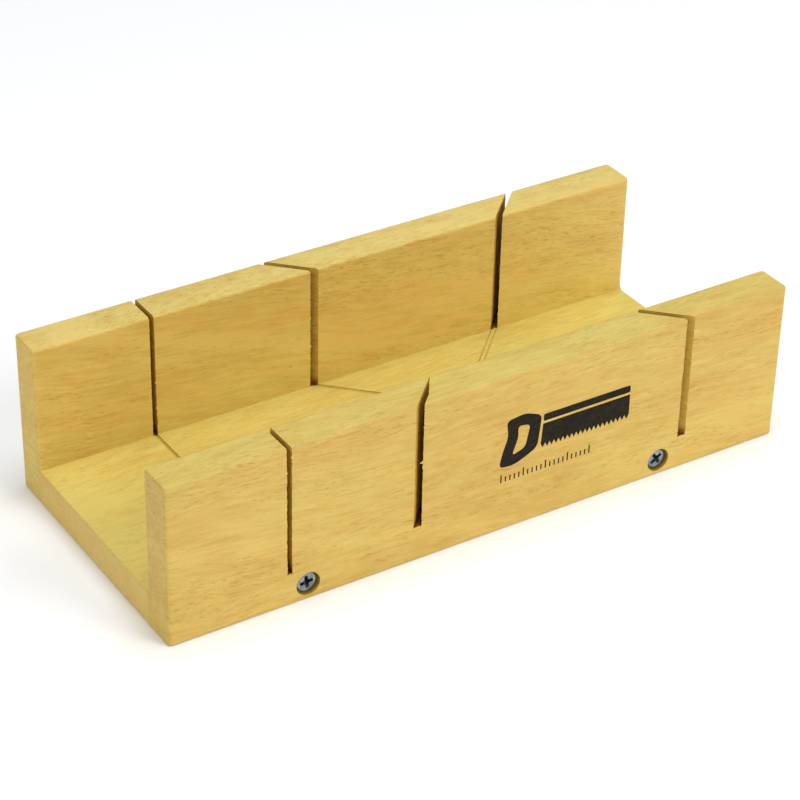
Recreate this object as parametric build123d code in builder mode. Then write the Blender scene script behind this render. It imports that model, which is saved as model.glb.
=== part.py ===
"""Wooden miter box: a base board between two slotted fences, held by four wood screws.

Frame: millimetres, +X along the box, -Y out of the front fence, +Z up. The origin is the
middle of the underside.
"""

from build123d import *
import os
from math import atan, cos, degrees, radians, sin, tan

# ---- driving dimensions -------------------------------------------------------------------

# Boards
box_length = 300.0
box_width = 131.0
box_height = 75.0
fence_thickness = 17.0
base_thickness = 16.5
edge_rounding = 1.2  # softened edges of the assembled boards
corner_rounding = 2.0  # upright edges at the four outer corners

# Saw kerfs: one square slot, and two miter slots that cross each other in plan
square_kerf_width = 2.1
light_kerf_width = 2.6
full_kerf_width = 2.7
light_miter_angle = 45.0  # direction in plan, in degrees
full_miter_angle = 135.4
scratch_depth = 0.3  # the set teeth cut this much deeper along both walls
scratch_width = 0.6
square_slot_x = -95.5
miter_cross_x = 30.95
miter_cross_y = 1.2
square_kerf_floor = 15.75  # half way across the box
square_kerf_fall = 0.39  # degrees that the square slot's floor falls towards the front
full_kerf_floor = 16.15  # a groove right across the base's top
light_kerf_floor = 16.62  # only the teeth's two scratches reach the base

# Screws: 4.5 x 38 countersunk wood screws, driven through the fences into the base's edges
screw_x = 87.0
screw_z = 7.3
screw_length = 38.0
head_radius = 4.4
head_rim = 0.35  # straight lip round the head
head_rim_rounding = 0.15
head_cone_angle = 90.0
shank_radius = 2.2
shank_length = 14.4  # smooth part, measured from the head's top
neck_length = 0.7  # where the shank tapers to the thread's root
root_radius = 1.5
thread_radius = 2.25
thread_pitch = 2.2
thread_turns = 7  # whole turns before the point
thread_foot_width = 1.2
thread_crest_width = 0.2
thread_overlap = 0.2  # how far the thread's foot is sunk into the root
point_length = 5.0
point_radius = 0.35

# Cross recess in a screw's head
recess_depth = 2.3
recess_span = 5.8
recess_wing_width = 1.5
recess_core_side = 2.4  # square that fills the corners between the wings
recess_floor_scale = 0.42

# Each screw: which fence it is in, which end of the box, and how far its cross is turned
screws = {
    "front_left_screw": (-1, -1, 7.0),
    "front_right_screw": (-1, 1, 33.0),
    "rear_left_screw": (1, -1, 61.0),
    "rear_right_screw": (1, 1, 18.0),
}

# Holes
counterbore_radius = 5.4
counterbore_wall = 0.9  # straight wall before the seat's cone starts
clearance_radius = 2.4
pilot_spare = 2.0  # the pilot hole is this much deeper than the screw's point

# ---- derived dimensions -------------------------------------------------------------------

base_width = box_width - 2 * fence_thickness
face_y = box_width / 2
joint_y = face_y - fence_thickness
fence_y = face_y - fence_thickness / 2
end_x = box_length / 2
slot_reach = 2 * box_width
cut_top = box_height + 1.0

seat_slope = tan(radians(head_cone_angle / 2))
seat_depth = counterbore_wall + (counterbore_radius - clearance_radius) / seat_slope
# Where the head's cone rests on the seat's cone, its flat top is this far below the face
head_depth = counterbore_wall + (counterbore_radius - head_radius) / seat_slope - head_rim
head_cone_end = head_rim + (head_radius - shank_radius) / seat_slope
point_start = screw_length - point_length
thread_start = point_start - thread_turns * thread_pitch
point_angle = degrees(atan((root_radius - point_radius) / point_length))
pilot_depth = head_depth + screw_length + pilot_spare - fence_thickness

# Each slot: where its centre line passes in plan, its direction in degrees, its width, the
# height of the ridge along the middle of its floor, and the floor's fall in degrees
slots = (
    (square_slot_x, 0.0, 90.0, square_kerf_width, square_kerf_floor, square_kerf_fall),
    (miter_cross_x, miter_cross_y, light_miter_angle, light_kerf_width, light_kerf_floor, 0.0),
    (miter_cross_x, miter_cross_y, full_miter_angle, full_kerf_width, full_kerf_floor, 0.0),
)

os.makedirs("parts", exist_ok=True)


# ---- features shared by the boards --------------------------------------------------------


def cut_kerfs():
    """Cuts every slot into the board in hand, from the top down to the scratched floor."""
    for x, y, angle, width, floor, fall in slots:
        side = width / 2
        ridge = side - scratch_width
        across = (-sin(radians(angle)), cos(radians(angle)), 0)
        along = (across[1], -across[0], tan(radians(fall)))
        with BuildSketch(Plane(origin=(x, y, 0), x_dir=across, z_dir=along)) as kerf:
            with BuildLine():
                Polyline(
                    (-side, cut_top),
                    (-side, floor - scratch_depth),
                    (-ridge, floor),
                    (ridge, floor),
                    (side, floor - scratch_depth),
                    (side, cut_top),
                    close=True,
                )
            make_face()
        extrude(kerf.sketch, amount=slot_reach, both=True, mode=Mode.SUBTRACT)


def drive_plane(side, x, depth=0.0, turn=0.0):
    """Plane across a screw's axis, that far under a fence's outer face, facing into the wood."""
    origin = (x, side * (face_y - depth), screw_z)
    level = (cos(radians(turn)), 0, sin(radians(turn)))
    return Plane(origin=origin, x_dir=level, z_dir=(0, -side, 0))


def round_bar(*outline):
    """Turns an outline of (radius, depth) points about the Z axis."""
    with BuildSketch(Plane.XZ) as section:
        with BuildLine():
            Polyline(*outline, close=True)
        make_face()
    return revolve(section.sketch, axis=Axis.Z, mode=Mode.PRIVATE)


def fence_blank(side):
    """One fence before it is slotted: rounded all over except where it is glued to the base."""
    with Locations((0, side * fence_y, box_height / 2)):
        Box(box_length, fence_thickness, box_height)
    uprights = edges().filter_by(Axis.Z).group_by(Axis.Y)
    outer, inner = (uprights[0], uprights[-1]) if side < 0 else (uprights[-1], uprights[0])
    fillet(outer, corner_rounding)
    fillet(inner, edge_rounding)
    # Beside the base's ends the inner corner stays square, so the joint closes
    filler_x = end_x - edge_rounding / 2
    filler_y = side * (joint_y + edge_rounding / 2)
    with Locations((-filler_x, filler_y, 0), (filler_x, filler_y, 0)):
        Box(
            edge_rounding,
            edge_rounding,
            base_thickness,
            align=(Align.CENTER, Align.CENTER, Align.MIN),
        )
    underside = faces().sort_by(Axis.Z)[0].edges()
    glued = underside.sort_by(lambda edge: abs(edge.center().Y))[0]
    fillet(underside - ShapeList([glued]), edge_rounding)
    fillet(faces().sort_by(Axis.Z)[-1].edges(), edge_rounding)


def cut_screw_holes(side):
    """Cuts both counterbored and countersunk clearance holes through one fence."""
    hole = round_bar(
        (0, -1),
        (counterbore_radius, -1),
        (counterbore_radius, counterbore_wall),
        (clearance_radius, seat_depth),
        (clearance_radius, fence_thickness + 1),
        (0, fence_thickness + 1),
    )
    for x in (-screw_x, screw_x):
        with Locations(drive_plane(side, x).location):
            add(hole, mode=Mode.SUBTRACT)


# ---- boards -------------------------------------------------------------------------------

with BuildPart() as base_board:
    Box(
        box_length,
        base_width,
        base_thickness,
        align=(Align.CENTER, Align.CENTER, Align.MIN),
    )
    fillet(edges().filter_by(Axis.Y), edge_rounding)
    cut_kerfs()
    for side in (-1, 1):
        for x in (-screw_x, screw_x):
            with Locations(drive_plane(side, x, fence_thickness).location):
                Cylinder(
                    root_radius,
                    pilot_depth,
                    align=(Align.CENTER, Align.CENTER, Align.MIN),
                    mode=Mode.SUBTRACT,
                )
base_board.part.label = "base_board"
export_step(base_board.part, "parts/base_board.step")

with BuildPart() as front_fence:
    fence_blank(-1)
    cut_kerfs()
    cut_screw_holes(-1)
front_fence.part.label = "front_fence"
export_step(front_fence.part, "parts/front_fence.step")

with BuildPart() as rear_fence:
    fence_blank(1)
    cut_kerfs()
    cut_screw_holes(1)
rear_fence.part.label = "rear_fence"
export_step(rear_fence.part, "parts/rear_fence.step")


# ---- screws -------------------------------------------------------------------------------


def cross_section(depth, scale):
    """Outline of the cross recess at one depth, as a sketch across the screw."""
    with BuildSketch(Plane.XY.offset(depth)) as cross:
        Rectangle(recess_span * scale, recess_wing_width * scale)
        Rectangle(recess_wing_width * scale, recess_span * scale)
        Rectangle(recess_core_side * scale, recess_core_side * scale, rotation=45)
    return cross.sketch


def thread_section(radius, height):
    """Trapezium of the thread's ridge, standing on that radius at that height."""
    rise = thread_radius - root_radius + thread_overlap
    start = Plane(origin=(radius, 0, height), x_dir=(1, 0, 0), z_dir=(0, 1, 0))
    with BuildSketch(start) as ridge:
        with BuildLine():
            Polyline(
                (0, -thread_foot_width / 2),
                (rise, -thread_crest_width / 2),
                (rise, thread_crest_width / 2),
                (0, thread_foot_width / 2),
                close=True,
            )
        make_face()
    return ridge.sketch


# One screw along +Z, with the middle of its head's top at the origin
with BuildPart() as wood_screw:
    with BuildSketch(Plane.XZ):
        with BuildLine():
            Polyline(
                (0, 0),
                (head_radius - head_rim_rounding, 0),
                (head_radius, head_rim_rounding),
                (head_radius, head_rim),
                (shank_radius, head_cone_end),
                (shank_radius, shank_length),
                (root_radius, shank_length + neck_length),
                (root_radius, point_start),
                (point_radius, screw_length),
                (0, screw_length),
                close=True,
            )
        make_face()
    revolve(axis=Axis.Z)
    foot_radius = root_radius - thread_overlap
    with BuildLine() as straight_turns:
        Helix(
            thread_pitch,
            point_start - thread_start,
            foot_radius,
            center=(0, 0, thread_start),
        )
    sweep(thread_section(foot_radius, thread_start), straight_turns.line, is_frenet=True)
    with BuildLine() as point_turns:
        Helix(
            thread_pitch,
            point_length - thread_foot_width,
            foot_radius,
            center=(0, 0, point_start),
            cone_angle=-point_angle,
        )
    sweep(thread_section(foot_radius, point_start), point_turns.line, is_frenet=True)
    recess_floor = cross_section(recess_depth, recess_floor_scale)
    loft([cross_section(0, 1), recess_floor], mode=Mode.SUBTRACT)

for name, (side, end, turn) in screws.items():
    with BuildPart() as driven_screw:
        with Locations(drive_plane(side, end * screw_x, head_depth, turn).location):
            add(wood_screw.part)
    driven_screw.part.label = name
    export_step(driven_screw.part, f"parts/{name}.step")
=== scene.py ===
import math
import random

import bmesh
import bpy
from mathutils import Matrix, Vector, noise


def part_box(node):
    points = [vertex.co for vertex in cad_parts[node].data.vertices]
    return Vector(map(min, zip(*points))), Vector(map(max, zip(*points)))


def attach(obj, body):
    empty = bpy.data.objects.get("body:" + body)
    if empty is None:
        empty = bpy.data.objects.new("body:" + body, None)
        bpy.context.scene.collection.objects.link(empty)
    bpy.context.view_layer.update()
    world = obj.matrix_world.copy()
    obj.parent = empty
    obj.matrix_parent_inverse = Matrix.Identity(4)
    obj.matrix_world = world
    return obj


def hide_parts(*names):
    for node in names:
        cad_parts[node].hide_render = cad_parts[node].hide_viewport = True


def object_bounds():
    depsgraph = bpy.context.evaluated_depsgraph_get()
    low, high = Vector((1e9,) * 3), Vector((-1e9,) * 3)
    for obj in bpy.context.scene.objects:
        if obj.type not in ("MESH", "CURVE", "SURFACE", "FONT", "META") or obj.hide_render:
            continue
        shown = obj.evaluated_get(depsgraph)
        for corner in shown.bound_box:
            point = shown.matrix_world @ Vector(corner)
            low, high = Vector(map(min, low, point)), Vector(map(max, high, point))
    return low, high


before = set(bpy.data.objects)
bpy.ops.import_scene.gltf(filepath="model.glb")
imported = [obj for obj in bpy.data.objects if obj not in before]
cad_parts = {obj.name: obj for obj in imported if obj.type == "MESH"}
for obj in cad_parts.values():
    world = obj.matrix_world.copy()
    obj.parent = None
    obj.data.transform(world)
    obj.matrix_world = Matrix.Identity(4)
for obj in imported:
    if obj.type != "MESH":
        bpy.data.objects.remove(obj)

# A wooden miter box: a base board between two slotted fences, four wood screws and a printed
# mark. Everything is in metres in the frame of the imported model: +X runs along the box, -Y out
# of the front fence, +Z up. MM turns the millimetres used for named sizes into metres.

MM = 0.001

# ---- sizes taken from the frame -------------------------------------------------------------

cad_low, cad_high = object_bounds()
_, base_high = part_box("base_board")
front_low, front_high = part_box("front_fence")

HALF_LENGTH = cad_high.x
HEIGHT = cad_high.z
FACE_Y = cad_high.y
JOINT_Y = base_high.y
BASE_TOP = base_high.z
FENCE = front_high.y - front_low.y

# ---- sizes of the details -------------------------------------------------------------------

EDGE_ROUNDING = 1.2 * MM
CORNER_ROUNDING = 2.0 * MM
INNER_ROUNDING = 1.7 * MM
INNER_RISE = 2.2 * MM  # above the base, a fence's inner uprights round off over this height
ROUNDING_STEPS = 6
END_MARGIN = 3.0 * MM  # from a board's end to the first station along its sides
STATION_PITCH = 5.0 * MM
LEVEL_PITCH = 6.0 * MM
SUPPORT_GAP = 0.3 * MM  # a first row of faces this close to a rounding keeps flat faces flat
MERGE_DISTANCE = 0.002 * MM
WEAR_SHARE = 0.22  # how much an edge's rounding varies along its length
PRINT_RECESS = 0.05 * MM  # the front face lies this far inside its box, which leaves the ink room

SCRATCH_DEPTH = 0.3 * MM
SCRATCH_WIDTH = 0.6 * MM
LIGHT_SCRATCH_WIDTH = 1.0 * MM  # where the teeth only just reach the base
STROKE_PITCH = 0.75 * MM
STROKE_DEPTH = 0.045 * MM
CHIP_REACH = 0.42 * MM
CHIP_DEPTH = 1.4 * MM  # chips and wear fade out this far inside the wood
ARRIS_WEAR = 0.05 * MM  # how far a kerf's edges are rubbed back where it opens on a face
FIBRE_SHARE = 0.10  # this share of the splinters still hangs across the kerf
FIBRE_REACH = 0.75 * MM
HANGING_SPLINTER = (47.7 * MM, 0.55 * MM, -2.0 * MM)  # the longest, in the front fence

# Each slot: where its centre line passes in plan, its direction, its width, its floor's ridge
# half way across the box, and the degrees that the floor falls towards the front
SLOTS = (
    (-95.5 * MM, 0.0, 90.0, 2.1 * MM, 15.75 * MM, 0.39),
    (30.95 * MM, 1.2 * MM, 45.0, 2.6 * MM, 16.62 * MM, 0.0),
    (30.95 * MM, 1.2 * MM, 135.4, 2.7 * MM, 16.15 * MM, 0.0),
)

BLADE_SHAKE = 0.05 * MM  # how much a groove's lines and a kerf's walls wander

COUNTERBORE_RADIUS = 5.4 * MM
COUNTERBORE_WALL = 0.9 * MM
RIM_TEAR = 0.10 * MM  # how far the grain is torn back round a hole's rim
CLEARANCE_RADIUS = 2.4 * MM
PILOT_RADIUS = 1.5 * MM
PILOT_SPARE = 2.0 * MM  # the pilot hole is this much deeper than the screw's point
HOLE_SEGMENTS = 72
PILOT_SEGMENTS = 24

HEAD_RADIUS = 4.4 * MM
HEAD_RIM = 0.35 * MM
SHANK_RADIUS = 2.2 * MM
SHANK_LENGTH = 14.4 * MM
NECK_LENGTH = 0.7 * MM
ROOT_RADIUS = 1.5 * MM
THREAD_RADIUS = 2.25 * MM
THREAD_PITCH = 2.2 * MM
THREAD_CREST = 0.08 * MM  # half the width of the ridge's flat crest
THREAD_FLANK = 0.42 * MM
SCREW_LENGTH = 38.0 * MM
POINT_LENGTH = 5.0 * MM
POINT_RADIUS = 0.22 * MM
SCREW_SEGMENTS = 48
HEAD_DEPTH = COUNTERBORE_WALL + (COUNTERBORE_RADIUS - HEAD_RADIUS) - HEAD_RIM

# Each screw: the CAD node that it stands for, and how far its cross is turned, in degrees
SCREW_TURNS = {
    "front_left_screw": 7.0,
    "front_right_screw": 33.0,
    "rear_left_screw": 61.0,
    "rear_right_screw": 18.0,
}


# ---- materials ------------------------------------------------------------------------------


class Nodes:
    """Short forms for wiring the nodes of one material."""

    def __init__(self, name):
        self.material = bpy.data.materials.new(name)
        self.material.use_nodes = True
        self.tree = self.material.node_tree
        self.tree.nodes.clear()

    def add(self, kind, inputs=None, **settings):
        """Makes a node. An input is a socket to link or a value to set, by name or number."""
        node = self.tree.nodes.new(kind)
        for key, value in settings.items():
            setattr(node, key, value)
        for key, value in (inputs or {}).items():
            if isinstance(value, bpy.types.NodeSocket):
                self.tree.links.new(value, node.inputs[key])
            else:
                node.inputs[key].default_value = value
        return node

    def math(self, operation, *values, clamp=False):
        values = dict(enumerate(values))
        node = self.add("ShaderNodeMath", values, operation=operation, use_clamp=clamp)
        return node.outputs[0]

    def vector(self, operation, *values):
        node = self.add("ShaderNodeVectorMath", dict(enumerate(values)), operation=operation)
        scalar = operation in ("LENGTH", "DOT_PRODUCT", "DISTANCE")
        return node.outputs["Value" if scalar else "Vector"]

    def noise(self, place, stretch, detail=2.0, roughness=0.5):
        """Noise from 0 to 1 about 0.5. The stretch is how many waves a millimetre holds."""
        scaled = self.vector("MULTIPLY", place, stretch)
        inputs = {"Vector": scaled, "Scale": 1.0, "Detail": detail, "Roughness": roughness}
        return self.add("ShaderNodeTexNoise", inputs).outputs[0]

    def dashes(self, place, stretch, inner, outer):
        """Short strokes, 1 inside and 0 outside, one in each cell of that stretch."""
        scaled = self.vector("MULTIPLY", place, stretch)
        cells = self.add("ShaderNodeTexVoronoi", {"Vector": scaled, "Scale": 1.0})
        return self.range(cells.outputs["Distance"], inner, outer, 1.0, 0.0)

    def range(self, value, low, high, to_low=0.0, to_high=1.0):
        """Smoothly maps low..high to to_low..to_high, and holds the ends."""
        inputs = {0: value, 1: low, 2: high, 3: to_low, 4: to_high}
        node = self.add("ShaderNodeMapRange", inputs, interpolation_type="SMOOTHSTEP")
        return node.outputs[0]

    def mix(self, share, first, second, blend="MIX"):
        node = self.tree.nodes.new("ShaderNodeMix")
        node.data_type = "RGBA"
        node.blend_type = blend
        for key, value in ((0, share), (6, first), (7, second)):
            if isinstance(value, bpy.types.NodeSocket):
                self.tree.links.new(value, node.inputs[key])
            elif key == 0:
                node.inputs[key].default_value = value
            else:
                node.inputs[key].default_value = (*value, 1.0)
        return node.outputs[2]

    def tint(self, share, colour, by):
        """The colour multiplied by another one, mixed in by that share."""
        return self.mix(share, colour, self.mix(1.0, colour, by, "MULTIPLY"))

    def grey(self, value):
        """A grey whose three channels are that value."""
        return self.add("ShaderNodeCombineColor", {0: value, 1: value, 2: value}).outputs[0]

    def millimetres(self):
        """The place on the object, in millimetres."""
        place = self.add("ShaderNodeTexCoord").outputs["Object"]
        return self.vector("MULTIPLY", place, (1 / MM, 1 / MM, 1 / MM))

    def bump(self, height, strength, distance):
        """The normal that this height gives. distance is its scale in millimetres."""
        inputs = {"Height": height, "Strength": strength, "Distance": distance * MM}
        return self.add("ShaderNodeBump", inputs).outputs[0]

    def finish(self, **inputs):
        """Ends the material in a Principled shader with these inputs."""
        named = {key.replace("_", " "): value for key, value in inputs.items()}
        shader = self.add("ShaderNodeBsdfPrincipled", named)
        self.add("ShaderNodeOutputMaterial", {"Surface": shader.outputs[0]})
        return self.material


# Painted shade: the rounded edges under a fence's top are darkened
RIM_PAINTED_SHADE = (0.90, 0.91, 0.91)  # multiplies the colour of the rounded edges under a top
STAIN = (0.66, 0.50, 0.34)  # multiplies the colour in pores, flecks and streaks
RING_WIDTH = 4.6  # millimetres of growth in a year
# Painted shade in a bored hole: how its colour is multiplied at the rim and at its darkest depth
BORED_PAINTED_SHADES = (1.15, 0.22)  # a bored surface at its rim and at its darkest
LATE_WOOD, FIBRES, FLAMES, BLOTCHES, CURLS = 0.16, 1.55, 1.15, 0.85, 0.95  # how dark each is


def wood(
    name,
    tone,
    shift,
    tilt,
    pith,
    sawn=0.0,
    bands=(),
    coarse=(),
    specks=(),
    hole_shade_depth=0.0,
    end_tint=(0.965, 0.965, 0.885),
    top_sheen_tint=(1.0, 1.0, 1.0),
    foot_shading_tint=None,
    foot_shading_levels=(20.0, 45.0),
):
    """Solid pale hardwood with its grain along X.

    tone is its mean colour, shift moves the figure so that no two boards match, tilt is the
    grain's slope in degrees (about Y, about Z), and pith is where the tree's heart lies in Y
    and Z in millimetres. sawn is how rough and dark the surface is. Each band is (slope in
    degrees, height at X 0, half width, strength), a soft light streak across a face; the
    base's band is painted light at its open end. Each coarse zone is alike, and holds darker
    and longer pores. Specks are (x, y, z, radius). hole_shade_depth is how deep below a fence's
    outer face a bored surface is at its darkest, as painted shade. end_tint multiplies the
    colour of end grain, top_sheen_tint that of a fence's top edge as painted sheen, and
    foot_shading_tint that of what lies below the first of foot_shading_levels, as painted
    shading: bounce light on the rear fence, shade at the kerfs' floors. It fades out up to the
    second.
    """
    nodes = Nodes(name)
    raw = nodes.millimetres()
    turned = nodes.add(
        "ShaderNodeMapping",
        {
            "Vector": raw,
            "Location": shift,
            "Rotation": (0.0, math.radians(tilt[0]), math.radians(tilt[1])),
        },
    ).outputs[0]

    # The grain wanders a little up and down along a board
    inputs = {"Vector": nodes.vector("MULTIPLY", turned, (0.010, 0.024, 0.024)), "Scale": 1.0}
    inputs["Detail"] = 2.0
    wander = nodes.add("ShaderNodeTexNoise", inputs).outputs["Color"]
    wander = nodes.vector("MULTIPLY_ADD", wander, (0.0, 17.0, 17.0), turned)

    # Growth rings round the pith
    across = nodes.vector("MULTIPLY", wander, (0.0, 1.0, 1.0))
    radius = nodes.vector("DISTANCE", across, (0.0, pith[0], pith[1]))
    ring = nodes.math("FRACT", nodes.math("DIVIDE", radius, RING_WIDTH))
    late = nodes.range(ring, 0.35, 0.95)
    ring_end = nodes.range(ring, 0.95, 1.0)
    late = nodes.math("SUBTRACT", late, ring_end)

    fibre = nodes.noise(wander, (0.075, 1.0, 1.0), detail=5.0, roughness=0.62)
    blotch = nodes.noise(turned, (0.010, 0.045, 0.045), detail=3.0)
    flame = nodes.noise(wander, (0.045, 0.24, 0.24), detail=3.0)
    curl = nodes.noise(wander, (0.09, 0.42, 0.42), detail=2.0)
    dark = nodes.math("MULTIPLY", late, LATE_WOOD)
    for figure, gain in ((fibre, FIBRES), (flame, FLAMES), (blotch, BLOTCHES), (curl, CURLS)):
        dark = nodes.math("MULTIPLY_ADD", nodes.math("SUBTRACT", figure, 0.5), gain, dark)

    def streak_at(slope, height, half_width, strength):
        rise = (math.sin(math.radians(slope)), 0.0, math.cos(math.radians(slope)))
        level = nodes.vector("DOT_PRODUCT", raw, rise)
        off = nodes.math("ABSOLUTE", nodes.math("SUBTRACT", level, height))
        return nodes.range(off, 0.0, half_width, strength, 0.0)

    for band in bands:
        dark = nodes.math("SUBTRACT", dark, streak_at(*band))
    dark = nodes.math("ADD", dark, 0.42, clamp=True)

    pale = tuple(channel * gain for channel, gain in zip(tone, (1.07, 1.08, 1.13)))
    deep = tuple(channel * gain for channel, gain in zip(tone, (0.88, 0.82, 0.70)))
    colour = nodes.mix(dark, pale, deep)

    # Pinker and yellower patches
    hue = nodes.noise(turned, (0.013, 0.055, 0.055), detail=2.0)
    hue = nodes.range(hue, 0.35, 0.65)
    colour = nodes.tint(hue, colour, (1.0, 0.945, 0.93))
    blush = nodes.noise(turned, (0.06, 0.17, 0.17), detail=3.0, roughness=0.6)
    blush = nodes.range(blush, 0.42, 0.62)
    colour = nodes.tint(blush, colour, (1.015, 0.960, 0.90))

    # Short dark pores, crowded in some places and sparse in others, and a few longer flecks
    crowd = nodes.noise(wander, (0.016, 0.10, 0.10), detail=2.0)
    crowd = nodes.range(crowd, 0.36, 0.64, 0.25, 1.0)
    zone = 0.0
    for place_of_zone in coarse:
        zone = nodes.math("MAXIMUM", streak_at(*place_of_zone), zone)
    crowd = nodes.math("ADD", crowd, zone, clamp=True)
    fleck = nodes.noise(wander, (0.19, 1.45, 1.45), detail=2.0, roughness=0.55)
    fleck = nodes.math("MULTIPLY_ADD", crowd, 0.19, fleck)
    fleck = nodes.range(fleck, 0.70, 0.91)
    pore = nodes.dashes(wander, (0.30, 1.9, 1.9), 0.05, 0.40)
    offset = nodes.vector("ADD", wander, (5.5, 3.1, 7.7))
    streak = nodes.dashes(offset, (0.13, 0.62, 0.62), 0.02, 0.15)
    streak_zone = nodes.noise(turned, (0.018, 0.07, 0.07), detail=1.0)
    streak_zone = nodes.math("MULTIPLY_ADD", zone, 0.16, streak_zone)
    streak = nodes.math("MULTIPLY", streak, nodes.range(streak_zone, 0.48, 0.62))
    marks = nodes.math("MULTIPLY", pore, nodes.math("MULTIPLY", crowd, 0.50))
    marks = nodes.math("MAXIMUM", marks, fleck)
    marks = nodes.math("MAXIMUM", marks, nodes.math("MULTIPLY", streak, 1.1))
    for *spot, size in specks:
        away = nodes.vector("DISTANCE", raw, spot)
        marks = nodes.math("MAXIMUM", marks, nodes.range(away, size * 0.5, size, 1.0, 0.0))
    colour = nodes.tint(nodes.math("MULTIPLY", marks, 0.52, clamp=True), colour, STAIN)

    # End grain is stippled, and has its own tint
    normal = nodes.add("ShaderNodeNewGeometry").outputs["Normal"]
    facing = nodes.add("ShaderNodeSeparateXYZ", {0: normal})
    end = nodes.math("ABSOLUTE", facing.outputs["X"])
    end = nodes.range(end, 0.55, 0.92)
    stipple = nodes.noise(raw, (2.2, 2.2, 2.2), detail=4.0, roughness=0.7)
    stipple = nodes.range(stipple, 0.36, 0.64, 0.89, 1.04)
    end_grain = nodes.mix(1.0, colour, end_tint, "MULTIPLY")
    end_grain = nodes.mix(1.0, end_grain, nodes.grey(stipple), "MULTIPLY")
    colour = nodes.mix(end, colour, end_grain)

    # Painted sheen: the fences' top faces are tinted paler and bluer where they face up
    level = nodes.vector("DOT_PRODUCT", raw, (0.0, 0.0, 1.0))
    top = nodes.range(facing.outputs["Z"], 0.75, 0.98)
    top = nodes.math("MULTIPLY", top, nodes.range(level, 60.0, 70.0))
    colour = nodes.tint(top, colour, top_sheen_tint)
    # Painted shading towards a piece's foot: bounce light on the rear fence, shade at the kerfs'
    # floors
    if foot_shading_tint:
        colour = nodes.tint(nodes.range(level, *foot_shading_levels, 1.0, 0.0), colour, foot_shading_tint)

    # Painted shade darkens the rounded edges just under a top
    if not sawn:
        rim_shade = nodes.range(facing.outputs["Z"], 0.15, 0.50)
        rim_shade = nodes.math("MULTIPLY", rim_shade, nodes.range(facing.outputs["Z"], 0.86, 0.99, 1.0, 0.0))
        colour = nodes.tint(rim_shade, colour, RIM_PAINTED_SHADE)

    # A saw leaves torn fibres and lines along its strokes
    stroke = nodes.noise(raw, (0.05, 0.05, 2.6), detail=4.0, roughness=0.7)
    if sawn:
        lines = nodes.range(stroke, 0.3, 0.7, 1.0 - 0.20 * sawn, 1.0)
        torn = nodes.noise(raw, (1.4, 1.4, 1.4), detail=5.0, roughness=0.75)
        torn = nodes.range(torn, 0.3, 0.7, 1.0 - 0.18 * sawn, 1.0)
        shade = nodes.math("MULTIPLY", lines, torn)
        if hole_shade_depth:
            # Painted shade: a bored hole grows darker from its rim down, as if shadowed in its
            # recess
            aside = nodes.vector("DOT_PRODUCT", nodes.vector("ABSOLUTE", raw), (0.0, 1.0, 0.0))
            depth = nodes.math("SUBTRACT", FACE_Y / MM, aside)
            shade = nodes.math("MULTIPLY", shade, nodes.range(depth, 0.1, hole_shade_depth, *BORED_PAINTED_SHADES))
        colour = nodes.mix(1.0, colour, nodes.grey(shade), "MULTIPLY")

    rough = nodes.range(fibre, 0.3, 0.7, 0.48 + 0.25 * sawn, 0.62 + 0.25 * sawn)
    height = nodes.math("MULTIPLY", marks, -0.6)
    height = nodes.math("MULTIPLY_ADD", fibre, 0.35, height)
    height = nodes.math("MULTIPLY_ADD", nodes.math("MULTIPLY", stipple, end), 0.5, height)
    height = nodes.math("MULTIPLY_ADD", stroke, 1.5 * sawn, height)
    return nodes.finish(
        Base_Color=colour,
        Roughness=rough,
        Normal=nodes.bump(height, 0.35 + 0.4 * sawn, 0.12),
        Specular_IOR_Level=0.08 if sawn else 0.32,
    )


def zinc():
    """Bright zinc plating on steel: bluish, with faint tool marks and a little tarnish, its colour
    darkened as painted shade for the dark surroundings it reflects.
    """
    nodes = Nodes("bright_zinc_painted_dark")
    raw = nodes.millimetres()
    cloud = nodes.noise(raw, (0.35, 0.35, 0.35), detail=3.0)
    grit = nodes.noise(raw, (3.5, 3.5, 3.5), detail=4.0, roughness=0.65)
    tint = nodes.range(cloud, 0.35, 0.65)
    # Painted shade: these base colours are darker than zinc, for the dark surroundings that the
    # head reflects
    colour = nodes.mix(tint, (0.19, 0.24, 0.29), (0.36, 0.38, 0.39))
    spots = nodes.range(grit, 0.54, 0.70)
    colour = nodes.mix(nodes.math("MULTIPLY", spots, 0.60), colour, (0.09, 0.11, 0.13))
    rough = nodes.range(grit, 0.35, 0.65, 0.24, 0.42)
    bump = nodes.bump(grit, 0.25, 0.03)
    return nodes.finish(Base_Color=colour, Metallic=1.0, Roughness=rough, Normal=bump)


def recess_shade_steel():
    """The steel inside a screw's cross recess, coloured near black as painted shade."""
    nodes = Nodes("shaded_recess_steel")
    raw = nodes.millimetres()
    grit = nodes.noise(raw, (2.5, 2.5, 2.5), detail=4.0, roughness=0.65)
    # Painted shade: near-black colours for the shade inside the cross recess
    colour = nodes.mix(nodes.range(grit, 0.35, 0.7), (0.030, 0.045, 0.055), (0.10, 0.13, 0.15))
    rough = nodes.range(grit, 0.35, 0.65, 0.40, 0.60)
    bump = nodes.bump(grit, 0.3, 0.04)
    return nodes.finish(Base_Color=colour, Metallic=1.0, Roughness=rough, Normal=bump)


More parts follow.
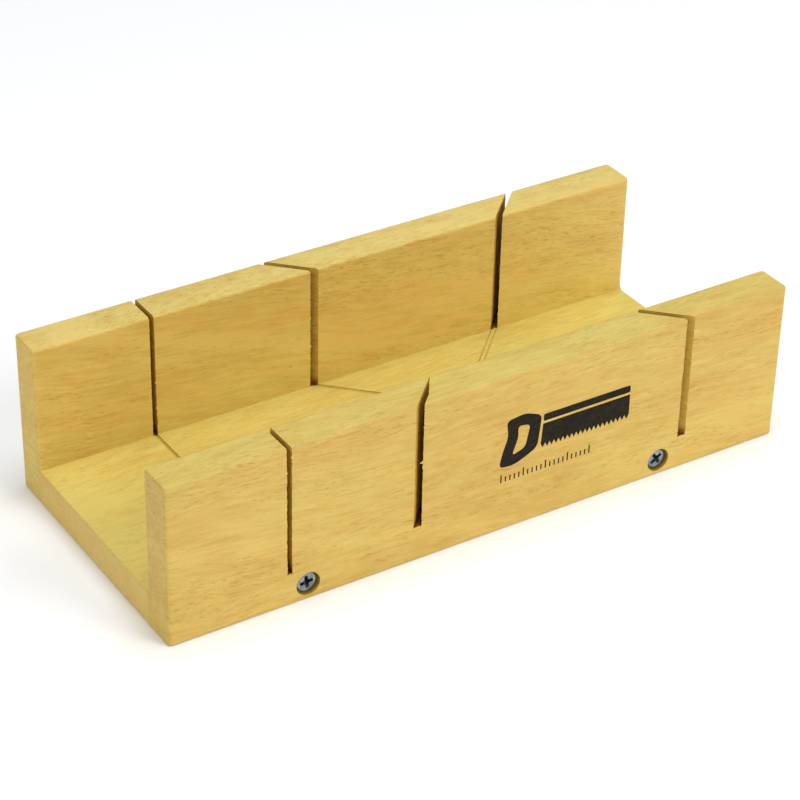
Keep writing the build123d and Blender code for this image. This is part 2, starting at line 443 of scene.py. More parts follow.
def ink():
    """Black pad-printed ink, thin enough for the pores to break it in places."""
    nodes = Nodes("black_ink")
    raw = nodes.millimetres()
    cells = {"Vector": nodes.vector("MULTIPLY", raw, (0.3, 2.0, 2.0)), "Scale": 1.0}
    pore = nodes.add("ShaderNodeTexVoronoi", cells).outputs["Distance"]
    bare = nodes.range(pore, 0.08, 0.2, 1.0, 0.0)
    cover = nodes.noise(raw, (0.25, 0.8, 0.8), detail=4.0, roughness=0.65)
    colour = nodes.mix(nodes.range(cover, 0.35, 0.7), (0.011, 0.009, 0.006), (0.024, 0.019, 0.012))
    colour = nodes.mix(nodes.math("MULTIPLY", bare, 0.35), colour, (0.20, 0.12, 0.03))
    rough = nodes.range(cover, 0.3, 0.7, 0.62, 0.78)
    bump = nodes.bump(cover, 0.2, 0.02)
    return nodes.finish(
        Base_Color=colour, Roughness=rough, Normal=bump, Specular_IOR_Level=0.10
    )


FRONT_TONE = (0.637, 0.467, 0.118)
REAR_TONE = (0.682, 0.507, 0.127)
BASE_TONE = (0.637, 0.527, 0.132)
GROOVE_TONE = (0.620, 0.475, 0.100)
SAWN_TONE = (0.680, 0.450, 0.080)
# The bored tone is darker than the sawn tone as painted shade in the screw holes
BORED_SHADED_TONE = (0.580, 0.410, 0.075)

front_wood = wood(
    "front_fence_wood",
    FRONT_TONE,
    (40.0, 13.0, 7.0),
    (-2.5, 0.4),
    (-60.0, -95.0),
    bands=((14.0, 5.5, 7.0, 0.36), (-20.0, -32.0, 34.0, 0.42)),
    coarse=((2.0, 15.0, 7.0, 0.6), (1.0, 66.0, 9.0, 0.7)),
    # Painted sheen on the front fence's top faces
    top_sheen_tint=(0.94, 1.04, 1.09),
)
rear_wood = wood(
    "rear_fence_wood",
    REAR_TONE,
    (-210.0, 60.0, 31.0),
    (-8.0, -0.5),
    (120.0, -140.0),
    bands=((18.0, 31.5, 5.5, 0.62), (90.0, 75.0, 190.0, 0.30)),
    coarse=((8.0, 70.0, 17.0, 1.0),),
    specks=((-29.0, 48.5, 30.0, 0.8),),
    # Painted sheen on the rear fence's top faces
    top_sheen_tint=(0.925, 1.00, 1.22),
    # Painted light: the rear fence is lightened towards the base, for light bounced off it
    foot_shading_tint=(0.985, 1.035, 1.02),
)
base_wood = wood(
    "base_board_wood",
    BASE_TONE,
    (120.0, -40.0, 90.0),
    (0.3, -0.8),
    (30.0, -170.0),
    # Painted light: this band pales the base towards its open left end, which the fences shade less
    bands=((90.0, -150.0, 50.0, 0.55),),
    specks=((-134.0, 41.5, 16.5, 0.9),),
    end_tint=(0.985, 0.872, 0.90),
)
sawn_wood = wood(
    "sawn_wood",
    SAWN_TONE,
    (75.0, 22.0, -48.0),
    (1.0, 0.5),
    (40.0, -120.0),
    sawn=1.0,
    # Painted shade: sawn surfaces darken towards the kerfs' floors, deep in the slot
    foot_shading_tint=(0.42, 0.28, 0.10),
    foot_shading_levels=(16.0, 22.0),
)
groove_wood = wood(
    "groove_wood", GROOVE_TONE, (75.0, 22.0, -48.0), (1.0, 0.5), (40.0, -120.0), sawn=1.0
)
shaded_bored_wood = wood(
    "shaded_bored_wood",
    BORED_SHADED_TONE,
    (31.0, -62.0, 18.0),
    (1.0, 0.5),
    (40.0, -120.0),
    sawn=1.0,
    hole_shade_depth=1.6,
)
shaded_recess_steel = recess_shade_steel()
shaded_zinc_steel = zinc()
black_ink = ink()


# ---- mesh tools -----------------------------------------------------------------------------


def make_object(name, points, faces, *materials):
    """A mesh object from its points and faces, with doubles merged and normals outwards."""
    mesh = bpy.data.meshes.new(name)
    mesh.from_pydata([tuple(point) for point in points], [], faces)
    work = bmesh.new()
    work.from_mesh(mesh)
    bmesh.ops.remove_doubles(work, verts=work.verts, dist=1e-7)
    bmesh.ops.dissolve_degenerate(work, edges=work.edges, dist=1e-7)
    bmesh.ops.recalc_face_normals(work, faces=work.faces)
    work.to_mesh(mesh)
    work.free()
    for material in materials:
        mesh.materials.append(material)
    made = bpy.data.objects.new(name, mesh)
    bpy.context.scene.collection.objects.link(made)
    return made


def loft_rings(rings, closed_ends=True):
    """The points of rings of equal count in one list, and the faces between the rings."""
    count = len(rings[0])
    faces = []
    for row in range(len(rings) - 1):
        for column in range(count):
            following = (column + 1) % count
            faces.append(
                (
                    row * count + column,
                    row * count + following,
                    (row + 1) * count + following,
                    (row + 1) * count + column,
                )
            )
    if closed_ends:
        faces.append(tuple(range(count)))
        faces.append(tuple(range((len(rings) - 1) * count, len(rings) * count)))
    points = [point for ring in rings for point in ring]
    return points, faces


def carve(piece, cutters):
    """Cuts the cutters out of a piece, one after another, and removes them."""
    for cutter in cutters:
        change = piece.modifiers.new("cut", "BOOLEAN")
        change.operation = "DIFFERENCE"
        change.solver = "EXACT"
        change.material_mode = "TRANSFER"
        change.object = cutter
    apply_modifiers(piece)
    for cutter in cutters:
        bpy.data.objects.remove(cutter)


def apply_modifiers(piece):
    """Replaces a piece's mesh with what its modifiers make of it."""
    graph = bpy.context.evaluated_depsgraph_get()
    result = bpy.data.meshes.new_from_object(piece.evaluated_get(graph))
    piece.modifiers.clear()
    piece.data = result


def close_mesh(work):
    """Merges what a cut leaves closer than a few microns, and fills any pinhole that is left."""
    bmesh.ops.remove_doubles(work, verts=work.verts, dist=MERGE_DISTANCE)
    bmesh.ops.dissolve_degenerate(work, edges=work.edges, dist=MERGE_DISTANCE)
    stray = [face for face in work.faces if all(edge.is_boundary for edge in face.edges)]
    bmesh.ops.delete(work, geom=stray, context="FACES")
    rims = [edge for edge in work.edges if edge.is_boundary]
    bmesh.ops.holes_fill(work, edges=rims, sides=12)
    loose = [vert for vert in work.verts if not vert.link_faces]
    bmesh.ops.delete(work, geom=loose, context="VERTS")
    wires = [edge for edge in work.edges if not edge.link_faces]
    bmesh.ops.delete(work, geom=wires, context="EDGES")


def shade(piece, sharp_angle=32.0):
    """Closes the mesh, then shades it smooth with edges sharper than that angle kept crisp."""
    work = bmesh.new()
    work.from_mesh(piece.data)
    close_mesh(work)
    limit = math.radians(sharp_angle)
    for face in work.faces:
        face.smooth = True
    for edge in work.edges:
        edge.smooth = edge.is_manifold and edge.calc_face_angle(math.pi) < limit
    work.to_mesh(piece.data)
    work.free()


# ---- boards ---------------------------------------------------------------------------------


def wear(x, y, seed):
    """How much an edge's rounding is more or less than its nominal size at this place."""
    slow = noise.noise(Vector((x / (26 * MM), y / (26 * MM), seed)))
    quick = noise.noise(Vector((x / (5 * MM), y / (5 * MM), seed + 9.0)))
    return 1.0 + WEAR_SHARE * (1.1 * slow + 0.45 * quick)


def steps(low, high, pitch):
    """Evenly spaced values from low to high, both included, about that pitch apart."""
    count = max(1, round((high - low) / pitch))
    return [low + (high - low) * index / count for index in range(count + 1)]


def board_ring(depth, radii, insets):
    """One turn round a board in plan: (x, v) points, v measured inwards from its outer face.

    radii are the upright roundings at the outer and inner corners. insets(x, v) says how far
    the outer side, the inner side and the ends are drawn in at that place.
    """
    long_stations = steps(-HALF_LENGTH + END_MARGIN, HALF_LENGTH - END_MARGIN, STATION_PITCH)
    end_stations = [depth * share for share in (0.3, 0.5, 0.7)]
    arc = [math.radians(90.0 * step / ROUNDING_STEPS) for step in range(ROUNDING_STEPS + 1)]

    def corner(end, inner, angle):
        radius = radii[inner]
        nominal_x = end * (HALF_LENGTH - radius + radius * math.cos(angle))
        nominal_v = radius - radius * math.sin(angle)
        nominal_v = depth - nominal_v if inner else nominal_v
        outer_in, inner_in, end_in = insets(nominal_x, nominal_v)
        side_in = inner_in if inner else outer_in
        x = HALF_LENGTH - max(radius, end_in) + max(radius - end_in, 0) * math.cos(angle)
        v = max(radius, side_in) - max(radius - side_in, 0) * math.sin(angle)
        return (end * x, depth - v if inner else v)

    points = [(x, insets(x, 0.0)[0]) for x in long_stations]
    points += [corner(1, 0, angle) for angle in reversed(arc)]
    points += [(HALF_LENGTH - insets(HALF_LENGTH, v)[2], v) for v in end_stations]
    points += [corner(1, 1, angle) for angle in arc]
    points += [(x, depth - insets(x, depth)[1]) for x in reversed(long_stations)]
    points += [corner(-1, 1, angle) for angle in reversed(arc)]
    points += [(-HALF_LENGTH + insets(-HALF_LENGTH, v)[2], v) for v in reversed(end_stations)]
    points += [corner(-1, 0, angle) for angle in arc]
    return points


def board(name, outer_y, inner_y, top, rounded_sides, recess, material, seed):
    """A board with softly worn edges, closed, before anything is cut in it.

    rounded_sides are shares from 0 to 1 for the (outer, inner) long edges at the bottom and
    then at the top; the ends are always rounded.
    """
    depth = abs(inner_y - outer_y)
    inward = 1 if inner_y > outer_y else -1
    bottom_sides, top_sides = rounded_sides
    fence = top > BASE_TOP + EDGE_ROUNDING
    lift = BASE_TOP + INNER_RISE

    def inner_radius(z):
        """The inner uprights are square where the base is glued on, and rounded above it."""
        share = (z - BASE_TOP) / (lift - BASE_TOP)
        return INNER_ROUNDING * min(1.0, max(0.0, share)) ** 0.5 if fence else 0.0

    outer_radius = CORNER_ROUNDING if fence else 0.0
    rings = []

    def add_ring(z_of, inset_share, sides, nominal_z):
        def insets(x, v):
            size = EDGE_ROUNDING * wear(x, v, seed) * inset_share
            return (recess + size * sides[0], size * sides[1], size)

        plan = board_ring(depth, (outer_radius, inner_radius(nominal_z)), insets)
        rings.append([Vector((x, outer_y + inward * v, z_of(x, v))) for x, v in plan])

    angles = [math.radians(90.0 * step / ROUNDING_STEPS) for step in range(ROUNDING_STEPS + 1)]
    for angle in reversed(angles):
        drop = 1 - math.sin(angle)
        add_ring(
            lambda x, v, drop=drop: EDGE_ROUNDING * wear(x, v, seed) * drop,
            1 - math.cos(angle),
            bottom_sides,
            0.0,
        )
    clear = EDGE_ROUNDING * (1 + 2 * WEAR_SHARE) + SUPPORT_GAP
    levels = steps(clear, top - clear, LEVEL_PITCH)
    if fence:
        rise = [BASE_TOP, BASE_TOP + 0.3 * MM, BASE_TOP + 0.9 * MM, lift]
        levels = [z for z in levels if not BASE_TOP - 2 * MM < z < lift + 2 * MM] + rise
    for z in sorted(levels):
        add_ring(lambda x, v, z=z: z, 0.0, (0.0, 0.0), z)
    for angle in angles:
        drop = 1 - math.sin(angle)
        add_ring(
            lambda x, v, drop=drop: top - EDGE_ROUNDING * wear(x, v, seed + 3.0) * drop,
            1 - math.cos(angle),
            top_sides,
            top,
        )
    points, faces = loft_rings(rings, closed_ends=False)
    count = len(rings[0])
    stations = len(steps(-HALF_LENGTH + END_MARGIN, HALF_LENGTH - END_MARGIN, STATION_PITCH))
    turn = count // 2
    for start in (0, (len(rings) - 1) * count):
        for column in range(stations - 1):
            opposite = turn + stations - 1 - column
            faces.append(
                (start + column, start + column + 1, start + opposite - 1, start + opposite)
            )
        faces.append(tuple(start + index for index in range(stations - 1, turn + 1)))
        second = [*range(turn + stations - 1, count), 0]
        faces.append(tuple(start + index for index in second))
    return make_object(name, points, faces, material)


# ---- saw kerfs ------------------------------------------------------------------------------


def kerf_chips(rng, low, high, strength):
    """Splinters along one edge of a kerf: (height, half height, reach) each.

    Most were torn off and leave a notch. Those with a reach below 0 still hang in the kerf.
    """
    chips = []
    z = low
    while z < high:
        z += rng.uniform(0.5, 2.6) * MM
        if rng.random() < FIBRE_SHARE:
            chips.append((z, 0.35 * MM, -FIBRE_REACH * rng.uniform(0.3, 1.0)))
        else:
            reach = CHIP_REACH * strength * rng.random() ** 2.2
            chips.append((z, rng.uniform(0.25, 0.7) * MM, reach))
    return chips


def chip_reach(chips, z):
    """How far the chips together move a kerf's edge aside at that height."""
    return sum(max(0.0, 1 - abs(z - at) / half) * reach for at, half, reach in chips)


def kerf_cutter(slot, outer_y, inner_y, seed):
    """What a handsaw takes out of one fence: rough walls, and a floor scratched at both sides."""
    x_mid, y_mid, angle, width, floor, fall = slot
    rng = random.Random(seed)
    slope = math.cos(math.radians(angle)) / math.sin(math.radians(angle))
    widen = 1 / math.sin(math.radians(angle))
    inward = 1 if inner_y > outer_y else -1
    depth = abs(inner_y - outer_y)
    half = width / 2 * widen
    ridge = (width / 2 - SCRATCH_WIDTH) * widen

    heights = [HEIGHT + 1.5 * MM]
    while heights[-1] > floor + STROKE_PITCH:
        heights.append(heights[-1] - STROKE_PITCH * rng.uniform(0.55, 1.35))
    heights[-1] = floor - SCRATCH_DEPTH
    strokes = [[rng.gauss(0, STROKE_DEPTH) for _ in heights] for _ in range(2)]
    torn = [[kerf_chips(rng, floor, HEIGHT, strength) for _ in range(2)] for strength in (1.0, 0.7)]
    if outer_y < 0 and angle == 45.0:
        torn[0][1].append(HANGING_SPLINTER)

    depths = [-1.5, 0.0, 0.25, 0.8, 2.0]
    spread = [share * depth / MM for share in (0.25, 0.42, 0.58, 0.75)]
    depths = [*depths, *spread, *[depth / MM - value for value in reversed(depths)]]
    rings = []
    for value in depths:
        v = value * MM
        y = outer_y + inward * v
        centre = x_mid + (y - y_mid) * slope
        sag = y * math.tan(math.radians(fall))
        near_outer = max(0.0, 1 - max(0.0, v) / CHIP_DEPTH) ** 2
        near_inner = max(0.0, 1 - max(0.0, depth - v) / CHIP_DEPTH) ** 2
        ring = []
        for side in (-1, 1):
            column = 0 if side < 0 else 1
            wall = []
            for index, z in enumerate(heights):
                out = strokes[column][index]
                out += BLADE_SHAKE * noise.noise(Vector((y / (4 * MM), z / (2 * MM), seed + side)))
                out += near_outer * (ARRIS_WEAR + chip_reach(torn[0][column], z))
                out += near_inner * (ARRIS_WEAR + chip_reach(torn[1][column], z))
                bottom = sag if index == len(heights) - 1 else 0.0
                wall.append(Vector((centre + side * (half + out), y, z + bottom)))
            foot = Vector((centre + side * ridge, y, floor + sag))
            ring += [*wall, foot] if side < 0 else [foot, *reversed(wall)]
        rings.append(ring)
    points, faces = loft_rings(rings)
    return make_object("kerf_cutter", points, faces, sawn_wood)


def groove_cutter(slot, seed):
    """The saw's run-out across the top of the base, with fibres torn along both lips."""
    x_mid, y_mid, angle, width, floor, fall = slot
    rng = random.Random(seed)
    slope = math.cos(math.radians(angle)) / math.sin(math.radians(angle))
    widen = 1 / math.sin(math.radians(angle))
    half = width / 2 * widen
    light = floor > BASE_TOP
    lip = BASE_TOP + 0.6 * MM
    rings = []
    for y in steps(-JOINT_Y - 1 * MM, JOINT_Y + 1 * MM, 1.1 * MM):
        centre = x_mid + (y - y_mid) * slope
        dip = BLADE_SHAKE * noise.noise(Vector((y / (6 * MM), seed, 1.0)))
        dip += y * math.tan(math.radians(fall))
        out = [rng.gauss(0, BLADE_SHAKE) + CHIP_REACH * 0.7 * rng.random() ** 4 for _ in range(2)]
        shake = [rng.gauss(0, BLADE_SHAKE) for _ in range(2)]
        if light:
            # The teeth only scratched the base at both sides of the blade
            low, inner = floor - SCRATCH_DEPTH + dip, half - LIGHT_SCRATCH_WIDTH * widen
            section = [
                (-half - out[0], lip),
                (-half - out[0] * 0.8, BASE_TOP - 0.04 * MM),
                (-half, low),
                (-inner + shake[0], floor + dip),
                (inner + shake[1], floor + dip),
                (half, low),
                (half + out[1] * 0.8, BASE_TOP - 0.04 * MM),
                (half + out[1], lip),
            ]
        else:
            # The blade leaned over, and cut deepest along its right side
            low = floor - SCRATCH_DEPTH + dip
            section = [
                (-half * 0.50 - out[0], lip),
                (-half * 0.48 - out[0] * 0.8, BASE_TOP - 0.03 * MM),
                (-half * 0.28 + shake[0], BASE_TOP - 0.20 * MM),
                (half * 0.18 + shake[0], floor + 0.02 * MM + dip),
                (half * 0.60 + shake[1], low + 0.12 * MM),
                (half, low + 0.22 * MM),
                (half + out[1] * 0.8, BASE_TOP - 0.04 * MM),
                (half + out[1], lip),
            ]
        rings.append([Vector((centre + x, y, z)) for x, z in section])
    points, faces = loft_rings(rings)
    return make_object("groove_cutter", points, faces, groove_wood)


# ---- screw holes ----------------------------------------------------------------------------


def lathe(outline, segments, place, roughen=None):
    """Rings of points turned about an axis. outline is (radius, depth) pairs along the axis."""
    rings = []
    for radius, depth in outline:
        ring = []
        for step in range(segments):
            angle = 2 * math.pi * step / segments
            grown = radius + (roughen(angle, depth) if roughen else 0.0)
            ring.append(place @ Vector((grown * math.cos(angle), grown * math.sin(angle), depth)))
        rings.append(ring)
    return loft_rings(rings)


def drive_place(x, z, side, depth=0.0, turn=0.0):
    """Moves a shape made along +Z so that it points into the wood from a fence's outer face."""
    into = Vector((0, -side, 0))
    level = Vector((math.cos(math.radians(turn)), 0, math.sin(math.radians(turn))))
    upright = into.cross(level)
    turned = Matrix((level, upright, into)).transposed().to_4x4()
    return Matrix.Translation((x, side * (FACE_Y - depth), z)) @ turned


def screw_axis(node):
    """(x, z, side) of a screw, read from its CAD node."""
    low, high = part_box(node)
    middle = (low + high) / 2
    return middle.x, middle.z, (1 if middle.y > 0 else -1)


def hole_cutter(node, seed):
    """Counterbore, countersink and clearance hole, with its rim torn a little along the grain."""
    x, z, side = screw_axis(node)
    seat_depth = COUNTERBORE_WALL + COUNTERBORE_RADIUS - CLEARANCE_RADIUS

    def roughen(angle, depth):
        round_rim = Vector((math.cos(angle) * 6, math.sin(angle) * 6, seed))
        torn = RIM_TEAR * abs(noise.noise(round_rim))
        along_grain = abs(math.cos(angle))
        return torn * along_grain if depth < 0.1 * MM else 0.0

    outline = [
        (COUNTERBORE_RADIUS + 0.25 * MM, -1 * MM),
        (COUNTERBORE_RADIUS + 0.12 * MM, 0.0),
        (COUNTERBORE_RADIUS, 0.18 * MM),
        (COUNTERBORE_RADIUS, COUNTERBORE_WALL),
        (CLEARANCE_RADIUS, seat_depth),
        (CLEARANCE_RADIUS, FENCE + 1 * MM),
    ]
    points, faces = lathe(outline, HOLE_SEGMENTS, drive_place(x, z, side), roughen)
    return make_object("hole_cutter", points, faces, shaded_bored_wood)


def pilot_cutter(node):
    """The narrow hole in the base's edge that a screw bites into."""
    x, z, side = screw_axis(node)
    depth = HEAD_DEPTH + SCREW_LENGTH + PILOT_SPARE - FENCE
    outline = [(PILOT_RADIUS, -1 * MM), (PILOT_RADIUS, depth), (0.3 * MM, depth + 0.8 * MM)]
    points, faces = lathe(outline, PILOT_SEGMENTS, drive_place(x, z, side, FENCE))
    return make_object("pilot_cutter", points, faces, sawn_wood)


# ---- boards, cut --------------------------------------------------------------------------


def make_fence(name, side, material, seed, recess):
    """One fence with its three kerfs and its two screw holes."""
    outer_y, inner_y = side * FACE_Y, side * JOINT_Y
    rounded = ((1.0, 0.0), (1.0, 1.0))
    piece = board(f"{name}_wood", outer_y, inner_y, HEIGHT, rounded, recess, material, seed)
    cutters = [kerf_cutter(slot, outer_y, inner_y, seed + 11 * k) for k, slot in enumerate(SLOTS)]
    where = name.split("_")[0]
    cutters += [hole_cutter(f"{where}_{end}_screw", seed + 5) for end in ("left", "right")]
    carve(piece, cutters)
    shade(piece)
    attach(piece, "root")
    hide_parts(name)


def make_base():
    """The base board with the saw's grooves across its top and the screws' pilot holes."""
    rounded = ((0.0, 0.0), (0.0, 0.0))
    piece = board("base_board_wood", -JOINT_Y, JOINT_Y, BASE_TOP, rounded, 0.0, base_wood, 71.0)
    cutters = [groove_cutter(slot, 40 + k) for k, slot in enumerate(SLOTS)]
    cutters += [pilot_cutter(node) for node in SCREW_TURNS]
    carve(piece, cutters)
    shade(piece)
    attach(piece, "root")
    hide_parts("base_board")


make_base()
make_fence("front_fence", -1, front_wood, 3, PRINT_RECESS)
make_fence("rear_fence", 1, rear_wood, 19, 0.0)


# ---- screws ---------------------------------------------------------------------------------


def thread_rings():
    """The threaded end as rings whose radius rises to a ridge along a helix, down to a point."""
    start = SHANK_LENGTH + NECK_LENGTH
    point_start = SCREW_LENGTH - POINT_LENGTH
    rings = []
    for depth in steps(start, SCREW_LENGTH - 0.15 * MM, 0.17 * MM):
        taper = max(0.0, (depth - point_start) / POINT_LENGTH)
        core = ROOT_RADIUS * (1 - taper) + POINT_RADIUS * taper
        grow = min(1.0, (depth - start) / THREAD_PITCH)
        ring = []
        for step in range(SCREW_SEGMENTS):
            angle = 2 * math.pi * step / SCREW_SEGMENTS
            phase = (depth - start) / THREAD_PITCH - angle / (2 * math.pi)
            off = abs(phase - round(phase)) * THREAD_PITCH
            ridge = max(0.0, 1 - max(0.0, off - THREAD_CREST) / THREAD_FLANK)
            radius = core + (THREAD_RADIUS - ROOT_RADIUS) * grow * ridge * (1 - 0.75 * taper)
            ring.append(Vector((radius * math.cos(angle), radius * math.sin(angle), depth)))
        rings.append(ring)
    return rings


def recess_cutter():
    """A cross recess: four rounded wings that narrow as they go down, round a pointed core."""
    half_span, half_wing, floor = 3.0 * MM, 0.80 * MM, 2.3 * MM
    rings = []
    for depth, span, wing, core in (
        (-0.6 * MM, 1.08, 1.12, 1.10),
        (0.0, 1.0, 1.0, 1.0),
        (0.35 * MM, 0.93, 0.95, 0.92),
        (1.4 * MM, 0.68, 0.80, 0.72),
        (floor, 0.40, 0.55, 0.45),
    ):
        reach, side = half_span * span, half_wing * wing
        notch = side + 0.42 * MM * core
        ring = []
        for quarter in range(4):
            turn = Matrix.Rotation(math.radians(90 * quarter), 4, "Z")
            arm = [
                (notch, -side),
                (reach - 0.12 * MM, -side),
                (reach, -side * 0.45),
                (reach, side * 0.45),
                (reach - 0.12 * MM, side),
                (notch, side),
                (notch * 0.86, notch * 0.86),
            ]
            ring += [turn @ Vector((x, y, depth)) for x, y in arm]
        rings.append(ring)
    points, faces = loft_rings(rings)
    return make_object("recess_cutter", points, faces, shaded_recess_steel)


def make_screw(node, turn):
    """One countersunk wood screw, driven home in its hole."""
    head_cone_end = HEAD_RIM + HEAD_RADIUS - SHANK_RADIUS
    outline = [
        (HEAD_RADIUS - 0.9 * MM, 0.0),
        (HEAD_RADIUS - 0.28 * MM, 0.0),
        (HEAD_RADIUS - 0.10 * MM, 0.035 * MM),
        (HEAD_RADIUS - 0.02 * MM, 0.10 * MM),
        (HEAD_RADIUS, 0.18 * MM),
        (HEAD_RADIUS, HEAD_RIM),
        (HEAD_RADIUS - 0.06 * MM, HEAD_RIM + 0.10 * MM),
        (SHANK_RADIUS + 0.12 * MM, head_cone_end - 0.08 * MM),
        (SHANK_RADIUS, head_cone_end + 0.15 * MM),
        (SHANK_RADIUS, SHANK_LENGTH),
        (ROOT_RADIUS, SHANK_LENGTH + NECK_LENGTH - 0.05 * MM),
    ]
    rings = []
    for radius, depth in outline:
        angles = [2 * math.pi * step / SCREW_SEGMENTS for step in range(SCREW_SEGMENTS)]
        ring = [Vector((radius * math.cos(a), radius * math.sin(a), depth)) for a in angles]
        rings.append(ring)
    rings += thread_rings()
    points, faces = loft_rings(rings)
    piece = make_object(f"{node}_steel", points, faces, shaded_zinc_steel)
    carve(piece, [recess_cutter()])
    shade(piece, 38.0)
    x, z, side = screw_axis(node)
    piece.data.transform(drive_place(x, z, side, HEAD_DEPTH, turn))
    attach(piece, "root")
    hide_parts(node)


for node, turn in SCREW_TURNS.items():
    make_screw(node, turn)


# ---- printed mark ---------------------------------------------------------------------------

INK_BACK = 0.03 * MM  # how far the ink is let into the wood
INK_FRONT = 0.01 * MM  # how far its face stays inside the front of the model's box


def ink_shape(name, outlines):
    """A flat printed shape on the front fence. Outlines are closed (x, z) loops in millimetres."""
    curve = bpy.data.curves.new(name, "CURVE")
    curve.dimensions = "2D"
    curve.fill_mode = "BOTH"
    thickness = PRINT_RECESS + INK_BACK - INK_FRONT
    curve.extrude = thickness / 2
    for outline in outlines:
        spline = curve.splines.new("POLY")
        spline.points.add(len(outline) - 1)
        for point, (x, z) in zip(spline.points, outline):
            point.co = (x * MM, z * MM, 0, 1)
        spline.use_cyclic_u = True
    source = bpy.data.objects.new(name, curve)
    bpy.context.scene.collection.objects.link(source)
    graph = bpy.context.evaluated_depsgraph_get()
    mesh = bpy.data.meshes.new_from_object(source.evaluated_get(graph))
    bpy.data.objects.remove(source)
    work = bmesh.new()
    work.from_mesh(mesh)
    bmesh.ops.remove_doubles(work, verts=work.verts, dist=1e-6)
    bmesh.ops.recalc_face_normals(work, faces=work.faces)
    stand = Matrix.Translation((0, -FACE_Y + INK_FRONT + thickness / 2, 0))
    work.transform(stand @ Matrix.Rotation(math.radians(90), 4, "X"))
    work.to_mesh(mesh)
    work.free()
    mesh.materials.clear()
    mesh.materials.append(black_ink)
    piece = bpy.data.objects.new(name, mesh)
    bpy.context.scene.collection.objects.link(piece)
    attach(piece, "root")


def rounded_loop(points, radius, steps_per_corner=5):
    """A polygon with each corner cut by an arc-like curve of about that radius."""
    loop = []
    count = len(points)
    for index in range(count):
        here = Vector(points[index])
        before = Vector(points[index - 1])
        after = Vector(points[(index + 1) % count])
        cut_in = min(radius, (before - here).length * 0.48)
        cut_out = min(radius, (after - here).length * 0.48)
        first = here + (before - here).normalized() * cut_in
        last = here + (after - here).normalized() * cut_out
        for step in range(steps_per_corner + 1):
            share = step / steps_per_corner
            low = first.lerp(here, share)
            high = here.lerp(last, share)
            loop.append(tuple(low.lerp(high, share)))
    return loop


def make_mark():
    """A plain back saw over a row of ruler ticks."""
    left, foot = 3.0, 31.0

    teeth = 20
    heel_x, toe_x = left + 21.0, 69.0
    pitch = (toe_x - heel_x) / teeth
    blade = [(toe_x, foot + 15.6), (heel_x + 0.8, foot + 15.6), (heel_x, foot + 6.0)]
    for tooth in range(teeth):
        x = heel_x + tooth * pitch
        blade += [(x + pitch * 0.5, foot + 3.8), (x + pitch, foot + 6.0)]
    ink_shape("mark_saw_blade", [blade])

    spine = [
        (heel_x + 0.9, foot + 16.8),
        (toe_x, foot + 16.8),
        (toe_x, foot + 20.2),
        (heel_x + 0.9, foot + 20.2),
    ]
    ink_shape("mark_saw_back", [rounded_loop(spine, 0.9)])

    grip = [
        (left + 0.4, foot + 0.6),
        (left + 8.0, foot),
        (left + 15.4, foot + 3.0),
        (left + 19.4, foot + 5.4),
        (left + 21.0, foot + 20.4),
        (left + 12.6, foot + 23.8),
        (left + 3.4, foot + 22.6),
        (left + 4.6, foot + 15.0),
        (left + 1.8, foot + 7.0),
    ]
    hand = [
        (left + 6.6, foot + 4.8),
        (left + 13.2, foot + 7.0),
        (left + 15.4, foot + 17.6),
        (left + 9.2, foot + 18.6),
        (left + 9.6, foot + 13.0),
    ]
    ink_shape("mark_saw_handle", [rounded_loop(grip, 2.6), rounded_loop(hand, 2.2)])

    row_left, row_foot, tick_pitch, tick_width = 4.5, 24.0, 2.225, 0.62
    ticks = []
    for tick in range(21):
        x = row_left + tick * tick_pitch
        height = 4.0 if tick % 5 == 0 else 2.6
        ticks.append(
            [
                (x, row_foot),
                (x + tick_width, row_foot),
                (x + tick_width, row_foot + height),
                (x, row_foot + height),
            ]
        )
    ink_shape("mark_ticks", ticks)


make_mark()


# ---- camera, floor and light ----------------------------------------------------------------

CAMERA_AZIMUTH = -32.84
CAMERA_ELEVATION = 32.64
CAMERA_ROLL = 1.281
CAMERA_PLACE = Vector((-517.0, -796.0, 637.9)) * MM
CAMERA_LENS = 118.72
CAMERA_SENSOR = 36.0


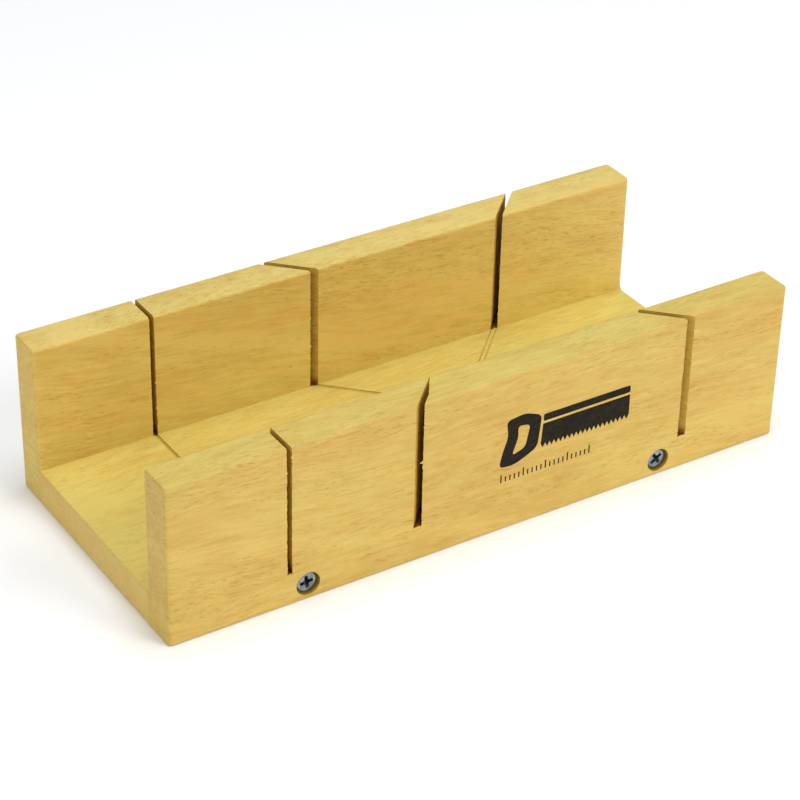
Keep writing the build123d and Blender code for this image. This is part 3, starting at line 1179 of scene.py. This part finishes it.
def make_camera():
    """The camera, turned by its azimuth and elevation, and then rolled about its own axis."""
    azimuth, elevation = math.radians(CAMERA_AZIMUTH), math.radians(CAMERA_ELEVATION)
    back = Vector(
        (
            math.sin(azimuth) * math.cos(elevation),
            -math.cos(azimuth) * math.cos(elevation),
            math.sin(elevation),
        )
    )
    right = (-back).cross(Vector((0, 0, 1))).normalized()
    up = right.cross(-back)
    turn = Matrix.Rotation(math.radians(CAMERA_ROLL), 3, back)
    right, up = turn @ right, turn @ up
    data = bpy.data.cameras.new("camera")
    data.lens = CAMERA_LENS
    data.sensor_width = CAMERA_SENSOR
    data.clip_end = 20.0
    made = bpy.data.objects.new("camera", data)
    bpy.context.scene.collection.objects.link(made)
    made.matrix_world = Matrix.Translation(CAMERA_PLACE) @ Matrix(
        (right, up, back)
    ).transposed().to_4x4()
    bpy.context.scene.camera = made


def make_floor():
    """A plain pale floor that runs out of sight."""
    material = Nodes("pale_floor").finish(Base_Color=(0.93, 0.93, 0.93, 1.0), Roughness=0.9)
    half = 6.0
    corners = [(-half, -half, 0), (half, -half, 0), (half, half, 0), (-half, half, 0)]
    floor = make_object("floor", corners, [(0, 1, 2, 3)], material)


def soft_light(name, place, aim, size, power, colour):
    """A square lamp of that size in metres, turned to its aim."""
    data = bpy.data.lights.new(name, "AREA")
    data.shape = "SQUARE"
    data.size = size
    data.energy = power
    data.color = colour
    light = bpy.data.objects.new(name, data)
    bpy.context.scene.collection.objects.link(light)
    light.location = place
    light.rotation_mode = "QUATERNION"
    light.rotation_quaternion = (Vector(aim) - Vector(place)).to_track_quat("-Z", "Y")


def around(azimuth, elevation, distance):
    """A place that far from the object, seen at that azimuth and elevation in degrees."""
    azimuth, elevation = math.radians(azimuth), math.radians(elevation)
    level = distance * math.cos(elevation)
    return (level * math.sin(azimuth), -level * math.cos(azimuth), distance * math.sin(elevation))


def make_light():
    """A pale room with three large soft lights: overhead, front right and left."""
    world = bpy.data.worlds.new("studio")
    world.use_nodes = True
    sky = world.node_tree.nodes["Background"]
    sky.inputs["Color"].default_value = (1.0, 0.99, 1.02, 1.0)
    sky.inputs["Strength"].default_value = 0.41
    bpy.context.scene.world = world
    middle = (0.0, 0.0, 0.03)
    soft_light("overhead", around(60, 84, 2.2), middle, 1.2, 23.6, (0.94, 1.0, 1.07))
    soft_light("front_right", around(28, 35, 2.2), middle, 1.0, 20.8, (1.04, 0.99, 0.91))
    soft_light("left", around(-85, 35, 2.2), middle, 1.0, 10.3, (1.04, 1.02, 0.84))


make_camera()
make_floor()
make_light()
bpy.context.scene.view_settings.view_transform = "Standard"
bpy.context.scene.view_settings.look = "None"
